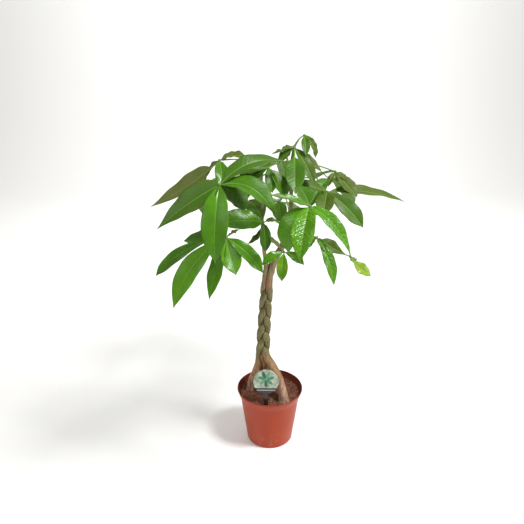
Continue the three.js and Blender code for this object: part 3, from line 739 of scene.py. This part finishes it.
# Each leaf: its stem, the height where it leaves it, what its stalk passes, and its hub.
# Each leaflet: tip x, y, z from the hub, bow, width, roll, fold, the share of its length that is
# bare stalk, the share where it is widest, and its age from 0 (new, bright) to 1 (old, dull)
LEAVES = {
    "leaf_front_left": {
        "stem": LEFT, "from": 548, "via": [(-46, -78, 572)], "hub": (-81, -140, 587),
        "leaflets": [
            (-6, -45, -117, 16, 45, 0, 12, 0, 0.5, 0.53),
            (-102, -14, -70, 4, 45, -45, 14, 0, 0.31, 0.72),
            (-36, 46, -60, 8, 36, -20, 16, 0, 0.55, 0.78),
            (87, -12, -46, 20, 42, 30, 16, 0, 0.5, 0.58),
            (40, 8, -44, 4, 52, 40, 16, 0, 0.5, 0.62),
            (107, 66, 27, 17, 34, 25, 14, 0, 0.45, 0.62),
        ],
    },
    "leaf_upper_left": {
        "stem": LEFT, "from": 582, "via": [(-50, -14, 608)], "hub": (-92, -30, 611),
        "leaflets": [
            (-127, -10, -83, -6, 42, -35, 16, 0.14, 0.35, 0.97),
            (47, -8, 8, 4, 24, 25, 16, 0, 0.55, 0.92),
            (10, -46, -46, 6, 26, 0, 16, 0, 0.55, 0.50),
            (-31, -4, -46, 4, 26, -10, 16, 0, 0.45, 0.86),
            (-100, 26, -107, 4, 44, -20, 16, 0.1, 0.55, 0.35),
        ],
    },
    "leaf_low_left": {
        "stem": LEFT, "from": 400, "via": [(-50, -36, 442)], "hub": (-79, -80, 483),
        "leaflets": [
            (66, -16, -62, 6, 31, 35, 14, 0, 0.55, 0.38),
            (19, -32, -60, -2, 37, 20, 16, 0, 0.55, 0.30),
            (-91, -50, -116, 19, 40, -35, 12, 0.05, 0.56, 0.33),
            (-30, -35, -106, 1, 31, -10, 14, 0, 0.5, 0.43),
            (-84, 40, -20, 2, 32, -40, 20, 0, 0.55, 0.62),
            (24, 10, 12, 0, 13, 0, 16, 0, 0.5, 0.90),
            (-128, -10, -71, 15, 25, -55, 18, 0.08, 0.68, 0.50),
        ],
    },
    "leaf_centre_left": {
        "stem": LEFT, "from": 452, "via": [(-14, -18, 474)], "hub": (-14, -24, 496),
        "leaflets": [
            (-87, -28, 8, 2, 48, -40, 14, 0, 0.47, 0.38),
            (-28, 40, 34, 4, 40, -20, 16, 0, 0.6, 0.72),
            (-30, -16, -39, -8, 14, -10, 14, 0.1, 0.5, 0.85),
            (4, -8, -57, 3, 24, 10, 16, 0, 0.5, 0.60),
            (36, -8, -50, -8, 18, 0, 16, 0.3, 0.6, 0.90),
            (33, -4, -4, 6, 13, 20, 16, 0, 0.5, 0.80),
        ],
    },
    "leaf_centre_top": {
        "stem": LEFT, "from": 582, "via": [(-10, -46, 589)], "hub": (-5, -60, 601),
        "leaflets": [
            (7, -26, -38, 4, 22, 0, 14, 0, 0.55, 0.60),
            (-52, -26, -26, 4, 32, -35, 16, 0, 0.55, 0.62),
            (-60, -14, -8, 3, 28, -30, 16, 0, 0.55, 0.70),
            (30, -12, -52, 5, 34, 20, 16, 0, 0.55, 0.70),
            (19, 30, 5, 2, 17, 0, 16, 0, 0.55, 0.70),
        ],
    },
    "leaf_top": {
        "stem": RIGHT, "from": 606, "via": [(41, 4, 620)], "hub": (42, 2, 630),
        "leaflets": [
            (-42, -22, -10, 0, 12, 0, 24, 0, 0.6, 0.85),
            (-29, -20, -28, 1, 25, -5, 20, 0, 0.5, 0.75),
            (-1, -92, -68, 6, 37, 0, 12, 0.28, 0.5, 0.60),
            (50, -16, -39, -3, 22, 35, 14, 0, 0.5, 0.85),
            (36, -34, -62, 4, 26, 20, 14, 0, 0.55, 0.70),
            (-16, 62, -20, 6, 24, 0, 18, 0, 0.55, 0.60),
        ],
    },
    "leaf_tip": {
        "stem": RIGHT, "from": 634, "via": [(53, 20, 645)], "hub": (61, 20, 650),
        "leaflets": [
            (2, -32, -34, 4, 17, 0, 16, 0, 0.55, 0.66),
            (21, -8, -40, 6, 17, 30, 18, 0, 0.55, 0.70),
            (14, 40, -24, 4, 16, 0, 20, 0, 0.55, 0.50),
        ],
    },
    "leaf_upper_right": {
        "stem": RIGHT, "from": 592, "via": [(80, 16, 596)], "hub": (121, 20, 584),
        "leaflets": [
            (-14, -14, -27, 3, 12, -30, 16, 0, 0.55, 0.90),
            (34, -6, -26, 0, 20, 20, 16, 0, 0.5, 0.88),
            (38, -34, -42, 0, 30, 20, 16, 0, 0.6, 0.88),
            (26, 50, -46, 4, 26, 0, 18, 0, 0.55, 0.80),
            (-40, 66, -30, 4, 28, 0, 18, 0, 0.55, 0.70),
        ],
    },
    "leaf_mid_right": {
        "stem": RIGHT, "from": 570, "via": [(72, 0, 574)], "hub": (104, -10, 551),
        "leaflets": [
            (65, -32, -60, 5, 37, 40, 12, 0, 0.58, 0.70),
            (-11, -54, -34, 4, 36, 0, 16, 0, 0.5, 0.78),
            (-60, -22, 14, 3, 34, -25, 16, 0, 0.55, 0.74),
            (165, 74, -34, 9, 29, 30, 18, 0, 0.5, 0.80),
            (20, 56, -38, 8, 30, 0, 18, 0, 0.5, 0.75),
        ],
    },
    "leaf_front_right": {
        "stem": RIGHT, "from": 536, "via": [(47, -78, 546)], "hub": (61, -150, 555),
        "leaflets": [
            (-64, -20, 22, 3, 16, -35, 16, 0, 0.45, 0.50),
            (-32, -20, -72, 18, 45, -15, 12, 0, 0.54, 0.42),
            (-17, -66, -71, 10, 40, 5, 22, 0, 0.5, 0.36),
            (63, -40, -69, 12, 25, 25, 14, 0, 0.38, 0.42),
            (-14, 54, 22, 3, 32, 0, 16, 0, 0.55, 0.60),
            (12, 26, -22, 3, 22, 30, 16, 0, 0.55, 0.66),
        ],
    },
    "leaf_far_right": {
        "stem": RIGHT, "from": 488, "via": [(100, -84, 527), (132, -80, 484)],
        "hub": (146, -60, 441),
        "leaflets": [
            (38, -12, -33, -3, 24, 35, 12, 0.15, 0.55, 0.12),
            (-54, 14, 29, -3, 26, -40, 14, 0, 0.7, 0.78),
            (14, 34, -26, 3, 14, 0, 16, 0, 0.55, 0.40),
        ],
    },
    "leaf_low_right": {
        "stem": RIGHT, "from": 470, "via": [(56, -38, 482)], "hub": (81, -72, 481),
        "leaflets": [
            (32, -28, -81, 9, 22, 25, 12, 0, 0.58, 0.37),
            (-30, -16, -22, 3, 22, -30, 14, 0, 0.5, 0.62),
            (-6, 40, -28, 6, 20, 0, 16, 0, 0.55, 0.60),
            (16, -16, -20, 2, 14, 30, 14, 0, 0.55, 0.60),
        ],
    },
    "leaf_collar": {
        "stem": RIGHT, "from": 436, "via": [(22, -20, 444)], "hub": (25, -40, 443),
        "leaflets": [
            (-4, -20, -52, 5, 22, 0, 14, 0, 0.55, 0.24),
            (-41, -20, -19, 4, 20, -35, 14, 0, 0.55, 0.42),
            (37, -20, -19, 4, 19, 35, 16, 0, 0.55, 0.60),
        ],
    },
    "leaf_back_left": {
        "stem": BACK, "from": 540, "via": [(-8, 104, 578)], "hub": (-58, 130, 562),
        "leaflets": [
            (-96, 30, -48, 10, 44, 0, 16, 0, 0.55, 0.55),
            (-52, 90, -58, 12, 44, 0, 16, 0, 0.55, 0.50),
            (28, 86, -66, 12, 40, 0, 16, 0, 0.55, 0.60),
            (-72, -56, -48, 8, 40, -30, 16, 0, 0.55, 0.65),
            (10, -40, -46, 8, 30, 0, 16, 0, 0.55, 0.70),
        ],
    },
    "leaf_back_centre": {
        "stem": BACK, "from": 584, "via": [(30, 140, 604)], "hub": (22, 184, 582),
        "leaflets": [
            (-62, 70, -60, 12, 42, 0, 16, 0, 0.55, 0.50),
            (20, 96, -70, 12, 44, 0, 16, 0, 0.55, 0.45),
            (88, 44, -52, 10, 42, 0, 16, 0, 0.55, 0.55),
            (-72, -22, -30, 8, 36, -30, 16, 0, 0.55, 0.65),
            (40, -60, -40, 8, 32, 20, 16, 0, 0.55, 0.65),
        ],
    },
    "leaf_back_right": {
        "stem": BACK, "from": 566, "via": [(86, 96, 580)], "hub": (120, 110, 556),
        "leaflets": [
            (70, 44, -46, 10, 40, 0, 16, 0, 0.55, 0.60),
            (56, 80, -60, 12, 42, 0, 16, 0, 0.55, 0.50),
            (-20, 84, -66, 12, 40, 0, 16, 0, 0.55, 0.55),
            (50, -44, -46, 8, 34, 20, 16, 0, 0.55, 0.65),
            (-40, -50, -50, 8, 32, -20, 16, 0, 0.55, 0.65),
        ],
    },
    "leaf_low_back": {
        "stem": BACK, "from": 490, "via": [(30, 110, 516)], "hub": (16, 140, 500),
        "leaflets": [
            (-84, 30, -50, 12, 40, 0, 16, 0, 0.55, 0.60),
            (-10, 96, -34, 10, 40, 0, 16, 0, 0.55, 0.50),
            (56, 66, -66, 12, 40, 0, 16, 0, 0.55, 0.55),
            (6, -60, -34, 6, 34, 20, 16, 0, 0.55, 0.65),
        ],
    },
}


def unit(vectors):
    """The vectors, each made one long."""
    return vectors / np.linalg.norm(vectors, axis=-1, keepdims=True)


def leaflet(hub, tip, bow, width, roll, fold, bare, belly, seed):
    """A closed blade. Its rib is a quadratic curve from hub to tip. Each row runs across it by
    t from -1 to 1: the two halves rise by the fold, wave, ripple at the edge, swell between the
    side veins and sink at the rib. The top row comes first, then the same row underneath. With
    each point come its place across and along and the blade's length, and 1 if it is beneath."""
    hub, chord = np.array(hub, float), np.array(tip, float)
    length = np.linalg.norm(chord)
    side = unit(np.array([chord[1], -chord[0], 0]))
    lift = unit(np.cross(side, chord))
    root, end = hub + chord * ROOT_DEPTH / length, hub + chord
    middle = hub + ARCH_SHARE * chord + 2 * bow * lift
    s = np.linspace(0, 1, BLADE_ROWS)[:, None]
    rib = (1 - s) ** 2 * root + 2 * s * (1 - s) * middle + s**2 * end
    along = unit((1 - s) * (middle - root) + s * (end - middle))
    turn = math.radians(roll)
    across = side * math.cos(turn) + np.cross(along, side) * math.sin(turn) \
        + along * (along @ side)[:, None] * (1 - math.cos(turn))
    up = unit(np.cross(across, along))
    shares, widths = zip(*BLADE_OUTLINE)
    blade_share = np.clip((s[:, 0] - bare) / (1 - bare), 0, 1)
    shape = smooth_curve(shares, widths, blade_share ** (math.log(BLADE_BELLY) / math.log(belly)))
    shape = shape[:, None]
    half = np.maximum(width / 2 * shape, np.where(s < 0.5, ROOT_HALF_WIDTH, TIP_HALF_WIDTH))
    even = np.linspace(-1, 1, BLADE_COLUMNS)
    t = np.sign(even) * np.abs(even) ** 1.3
    out = np.abs(t)
    from_rib = t * half
    lean = math.radians(fold)
    rise = half * math.sin(lean) * (1.3 * out - 0.3 * out**2.4)
    wave = WAVE_HEIGHT * shape * np.sin(WAVE_RUN * s + chord[0]) * t
    ripple = RIPPLE_HEIGHT * shape * out**3 * np.sin(RIPPLE_RUN * s + 2.1 * seed + np.sign(t))
    vein = (s * length - VEIN_SLANT * np.abs(from_rib) - VEIN_BEND * from_rib**2) / VEIN_SPACING
    swell = SWELL_HEIGHT * shape * (0.5 - 0.5 * np.cos(2 * np.pi * vein)) * out * (1.2 - out)
    level = rise + wave + ripple + swell
    normal = up[:, None] * math.cos(lean) \
        - across[:, None] * (np.sign(t) * math.sin(lean))[:, None]
    surface = rib[:, None] + across[:, None] * (from_rib * math.cos(lean))[..., None] \
        + up[:, None] * level[..., None]
    thick = BLADE_THICKNESS / 2 * np.minimum(1, half * 4)
    near_rib = np.exp(-(from_rib / RIB_HALF_WIDTH) ** 2)
    groove = RIB_GROOVE * near_rib * (1 - s)
    keel = RIB_DEPTH * (1 - RIB_THINNING * s) * near_rib
    top = surface + normal * (thick - groove)[..., None]
    under = surface - normal * (thick + keel)[..., None]
    points = np.concatenate([top, under[:, ::-1]], 1)
    measure = np.stack([from_rib, s * length + 0 * t, length + 0 * from_rib], -1)
    measure = np.concatenate([measure, measure[:, ::-1]], 1)
    beneath = np.repeat([[0.0, 1.0]], BLADE_COLUMNS, 1) + 0 * s
    return points, measure, beneath


def stalk(points):
    """A round tube along a smooth curve through the points, swollen where it leaves the stem, and
    closed over a hub at its far end."""
    points = np.array(points, float)
    gaps = np.linalg.norm(np.diff(points, axis=0), axis=1) ** 0.5
    knots = np.concatenate([[0], np.cumsum(gaps)])
    path = smooth_curve(knots, points, np.linspace(0, knots[-1], STALK_STEPS))
    onward = unit(path[-1] - path[-2]) * HUB_RADIUS
    path = np.concatenate([path, path[-1] + onward * np.linspace(0.2, 1, HUB_STEPS)[:, None]])
    run = np.concatenate([[0], np.cumsum(np.linalg.norm(np.diff(path, axis=0), axis=1))])
    to_hub = np.abs(run - (run[-1] - HUB_RADIUS)) / HUB_RADIUS
    ball = HUB_RADIUS * np.sqrt(np.clip(1 - to_hub**2, 0.01, 1))
    swelling = np.exp(-((run - STALK_SWELLING["at"]) / STALK_SWELLING["spread"]) ** 2)
    base = STALK_RADIUS * (1 + STALK_SWELLING["share"] * swelling)
    radius = np.where(run > run[-1] - HUB_RADIUS, ball, np.maximum(base, ball * (to_hub < 1)))
    along = unit(np.gradient(path, axis=0))
    span = np.abs(path[-1] - path[0])
    aside = unit(np.cross(along, np.eye(3)[np.argmin(span)]))
    beside = np.cross(along, aside)
    angle = np.linspace(0, 2 * np.pi, STALK_SIDES, endpoint=False)[None, :, None]
    return path[:, None] + radius[:, None, None] * (aside[:, None] * np.cos(angle)
                                                    + beside[:, None] * np.sin(angle))


def leaf_material():
    """Living leaf: a waxy, glossy upper face, paler and duller below, with pale ribs. Its clouds
    of colour are 22 mm across and its dimples 4 mm."""
    material, tree, shader = new_material("glossy_pachira_leaf")
    place = add(tree, "TexCoord").outputs["Object"]
    stored = (add(tree, "Attribute", attribute_name=label).outputs["Vector"]
              for label in ("blade", "growth", "pucker"))
    blade, growth, pucker = (add(tree, "SeparateXYZ", {0: value}).outputs for value in stored)
    # In millimetres
    from_rib, along, length = blade
    years, beneath, chance = growth
    clouds = add(tree, "TexNoise", {"Vector": place, "Scale": 45, "Detail": 3})
    dimples = add(tree, "TexNoise", {"Vector": place, "Scale": 240, "Detail": 2})
    luck = add(tree, "Math", {0: chance, 1: 0.12, 2: years}, operation="MULTIPLY_ADD")
    drift = add(tree, "Math", {0: clouds, 1: 0.36, 2: -0.24}, operation="MULTIPLY_ADD")
    age = add(tree, "Math", {0: luck, 1: drift}, operation="ADD")
    green = add(tree, "ValToRGB", {0: age})
    ramp = green.color_ramp.elements
    for position, _ in LEAF_COLOURS[1:-1]:
        ramp.new(position)
    for stop, (_, shade) in zip(ramp, LEAF_COLOURS):
        stop.color = linear(shade)

    # Side veins leave the rib at a slant, curve to the tip and are spaced VEIN_SPACING apart
    aside = add(tree, "Math", {0: from_rib}, operation="ABSOLUTE")
    square = add(tree, "Math", {0: aside, 1: 2}, operation="POWER")
    slant = add(tree, "Math", {0: aside, 1: -VEIN_SLANT, 2: along}, operation="MULTIPLY_ADD")
    bent = add(tree, "Math", {0: square, 1: -VEIN_BEND, 2: slant}, operation="MULTIPLY_ADD")
    wobble = add(tree, "Math", {0: clouds, 1: 3, 2: bent}, operation="MULTIPLY_ADD")
    turns = add(tree, "Math", {0: wobble, 1: VEIN_SPACING / 2}, operation="PINGPONG")
    vein = add(tree, "MapRange", {"Value": turns, "From Min": 1, "From Max": 0.1})
    # The pale rib is about 2 mm wide at its root and narrows to the tip
    share = add(tree, "Math", {0: along, 1: length}, operation="DIVIDE")
    rib_width = add(tree, "MapRange", {"Value": share, "To Min": 1.25, "To Max": 0.35})
    rib_place = add(tree, "Math", {0: aside, 1: rib_width}, operation="DIVIDE")
    rib = add(tree, "MapRange", {"Value": rib_place, "From Min": 1.25, "From Max": 0.55},
              interpolation_type="SMOOTHSTEP")
    colour = green
    for form, most, over in ((vein, 0.1, "#6F9C3A"), (rib, 0.45, "#7FA64A"),
                             (beneath, 0.62, "#7F9C58")):
        tint = add(tree, "Math", {0: form, 1: most}, operation="MULTIPLY")
        colour = add(tree, "Mix", {0: tint, 6: colour, 7: linear(over)}, data_type="RGBA")

    # Old blades have lost their wax, and no blade is waxy below
    gloss = add(tree, "MapRange", {"Value": clouds, "To Min": 0.12, "To Max": 0.34})
    worn = add(tree, "MapRange", {"Value": luck, "From Min": 0.45, "From Max": 0.9,
                                  "To Max": 0.26})
    waxed = add(tree, "Math", {0: worn, 1: gloss}, operation="ADD")
    dull = add(tree, "Math", {0: beneath, 1: 0.28, 2: waxed}, operation="MULTIPLY_ADD")
    shine = add(tree, "Math", {0: worn, 1: -0.9, 2: 0.42}, operation="MULTIPLY_ADD")
    relief = add(tree, "Math", {0: vein, 1: -0.4, 2: dimples}, operation="MULTIPLY_ADD")
    rise = add(tree, "Math", {0: pucker["X"], 1: 2.1, 2: 0.3}, operation="MULTIPLY_ADD")
    quilted = add(tree, "Bump", {"Height": relief, "Strength": rise, "Distance": 0.0006})
    connect(shader, {"Base Color": colour, "Roughness": dull, "Specular IOR Level": shine,
                     "Normal": quilted, "IOR": 1.45, "Subsurface Weight": 0.12,
                     "Subsurface Radius": (0.6, 1.0, 0.25), "Subsurface Scale": 0.0015})
    return material


leaf_green = leaf_material()
for leaf_number, (name, leaf) in enumerate(LEAVES.items()):
    start_x, start_y, _ = stem_slices(leaf["stem"], np.array([float(leaf["from"])]))
    start = (start_x[0], start_y[0], leaf["from"])
    tube = stalk([start, *leaf["via"], leaf["hub"]])
    points, faces = [tube.reshape(-1, 3)], skin_faces(*tube.shape[:2])
    # A stalk counts as the root of a long blade, grown and a little pale
    marks = {"blade": [[0, 0, 100] + 0 * points[0]], "growth": [[0.7, 0.35, 0.5] + 0 * points[0]],
             "pucker": [np.zeros_like(points[0])]}
    for number, (*tip, bow, width, roll, fold, bare, belly, age) in enumerate(leaf["leaflets"]):
        seed = 10 * leaf_number + number
        rings, measure, beneath = leaflet(leaf["hub"], tip, bow, width, roll, fold, bare, belly,
                                          seed)
        growth = np.stack([age + 0 * beneath, beneath, seed % 7 / 7 + 0 * beneath], -1)
        pucker = np.full_like(rings, PUCKERS.get((name, number), 0))
        faces += skin_faces(*rings.shape[:2], first=sum(len(p) for p in points))
        points.append(rings.reshape(-1, 3))
        for label, values in (("blade", measure), ("growth", growth), ("pucker", pucker)):
            marks[label].append(values.reshape(-1, 3))
    spray = mesh_object("foliage_" + name, np.concatenate(points), faces, leaf_green,
                        {label: np.concatenate(values) for label, values in marks.items()})
    settle(spray, "leaf", name)


# Plant tag
# A round card moulded in one with its stake, in glossy white plastic, and printed with a plain
# rosette of leaf shapes over a pale ground and a dark band. Below the card the stake is painted dark
# brown as shade.

TAG_RADIUS = 26
TAG_THICKNESS = 1
TAG_CENTRE = (-8, -44, 163.5)
TAG_LEAN = 12
TAG_RINGS = [2, 12, 20]
TAG_SIDES = 96
TAG_STAKE = {"length": 64, "width": 9, "point": 8, "lap": 6}
STAKE_STEPS = 40
STAKE_SIDES = 24
# Heights from the card's middle where its printed dark band and the dark brown painted shade of its
# stake begin and are whole, and the light stripe's middle and half width
TAG_BAND = (-12.5, -13.5)
TAG_STAKE_SHADE = (-25.5, -26)
TAG_STRIPE = (-17.5, 0.9)
# A rosette of ovals: how far their middles lie from its own, how high that is above the card's,
# and half the length, depth and width of each
ROSETTE = {"petals": 7, "reach": 9.4, "up": 5.5, "petal": (8, 1000, 3.5),
           "inks": ["#2C7A52", "#4F8F6C", "#174A32"]}

tag_right = np.array([1.0, 0, 0])
tag_up = np.array([0, math.sin(math.radians(TAG_LEAN)), math.cos(math.radians(TAG_LEAN))])
tag_back = np.cross(tag_up, tag_right)


def card_rings():
    """A flat disc with a half-round edge: radius and depth, turned about the card's own axis."""
    edge = np.radians(np.linspace(-90, 90, 9))
    rounding = TAG_THICKNESS / 2
    flat = [rounding] * len(TAG_RINGS)
    radii = [TAG_RINGS, TAG_RADIUS - rounding + rounding * np.cos(edge), TAG_RINGS[::-1]]
    depths = [np.negative(flat), rounding * np.sin(edge), flat]
    radius, depth = (np.concatenate(parts)[:, None, None] for parts in (radii, depths))
    angle = np.linspace(0, 2 * np.pi, TAG_SIDES, endpoint=False)[None, :, None]
    return np.array(TAG_CENTRE) + depth * tag_back + radius * (
        np.cos(angle) * tag_right - np.sin(angle) * tag_up)


def stake_rings():
    """A flat strip with rounded edges, carried down from the card and narrowed to a point."""
    reach = np.linspace(TAG_RADIUS - TAG_STAKE["lap"], TAG_STAKE["length"], STAKE_STEPS)
    reach = reach[:, None, None]
    narrow = np.clip((TAG_STAKE["length"] - reach) / TAG_STAKE["point"], 0.05, 1)
    angle = np.linspace(0, 2 * np.pi, STAKE_SIDES, endpoint=False)[None, :, None]
    flat = np.sign(np.cos(angle)) * np.abs(np.cos(angle)) ** 0.4
    deep = np.sign(np.sin(angle)) * np.abs(np.sin(angle)) ** 0.6
    return np.array(TAG_CENTRE) - reach * tag_up \
        + flat * narrow * TAG_STAKE["width"] / 2 * tag_right \
        - deep * 0.9 * TAG_THICKNESS / 2 * tag_back


def tag_material():
    """Glossy printed polystyrene: a rosette over a pale ground, a dark band at the foot, and painted
    shade darkening the stake below the card.
    """
    material, tree, shader = new_material("printed_polystyrene_card")
    place = add(tree, "TexCoord").outputs["Object"]
    # Millimetres across and up from the card's middle
    face = add(tree, "Mapping", {"Vector": place, "Location": [v * MM for v in TAG_CENTRE],
                                 "Scale": (MM, 1, MM)}, vector_type="TEXTURE")
    height = add(tree, "SeparateXYZ", {0: face}).outputs["Z"]
    # Faint clouds 11 mm across
    mist = add(tree, "TexNoise", {"Vector": place, "Scale": 90, "Detail": 3})
    cloud = add(tree, "MapRange", {"Value": mist, "From Min": 0.36, "From Max": 0.64})
    layers = [(cloud, "#BAC4B2")]
    for petal in range(ROSETTE["petals"]):
        turn = 2 * math.pi * (petal + 0.25) / ROSETTE["petals"]
        middle = (ROSETTE["reach"] * math.cos(turn), 0,
                  ROSETTE["up"] + ROSETTE["reach"] * math.sin(turn))
        oval = add(tree, "Mapping", {"Vector": face, "Location": middle, "Rotation": (0, -turn, 0),
                                     "Scale": ROSETTE["petal"]}, vector_type="TEXTURE")
        reach = add(tree, "VectorMath", {0: oval}, operation="LENGTH")
        inked = add(tree, "MapRange", {"Value": reach, "From Min": 1.15, "From Max": 0.8,
                                       "To Max": 0.92})
        layers.append((inked, ROSETTE["inks"][petal % len(ROSETTE["inks"])]))
    # foot: painted shade, the stake below the card is dark brown as though in the card's shadow
    band, foot = (add(tree, "MapRange", {"Value": height, "From Min": start, "From Max": whole})
                  for start, whole in (TAG_BAND, TAG_STAKE_SHADE))
    stripe = add(tree, "Math", {0: height, 1: TAG_STRIPE[0], 2: TAG_STRIPE[1]},
                 operation="COMPARE")
    layers += [(band, "#2B2A2E"), (stripe, "#A7A3A8"), (foot, "#2E2418")]
    colour = linear("#74836F")
    for share, over in layers:
        colour = add(tree, "Mix", {0: share, 6: colour, 7: linear(over)}, data_type="RGBA")
    connect(shader, {"Base Color": colour, "Roughness": 0.24, "IOR": 1.55})
    return material


card_ink = tag_material()
rings = card_rings()
tag = mesh_object("tag_card", rings, skin_faces(*rings.shape[:2]), card_ink)
rings = stake_rings()
stake = mesh_object("tag_stake", rings, skin_faces(*rings.shape[:2]), card_ink)
combine(tag, stake, "UNION")
tag.data.set_sharp_from_angle(angle=math.radians(SHARP_EDGE))
settle(tag, "tag", "plant_tag")
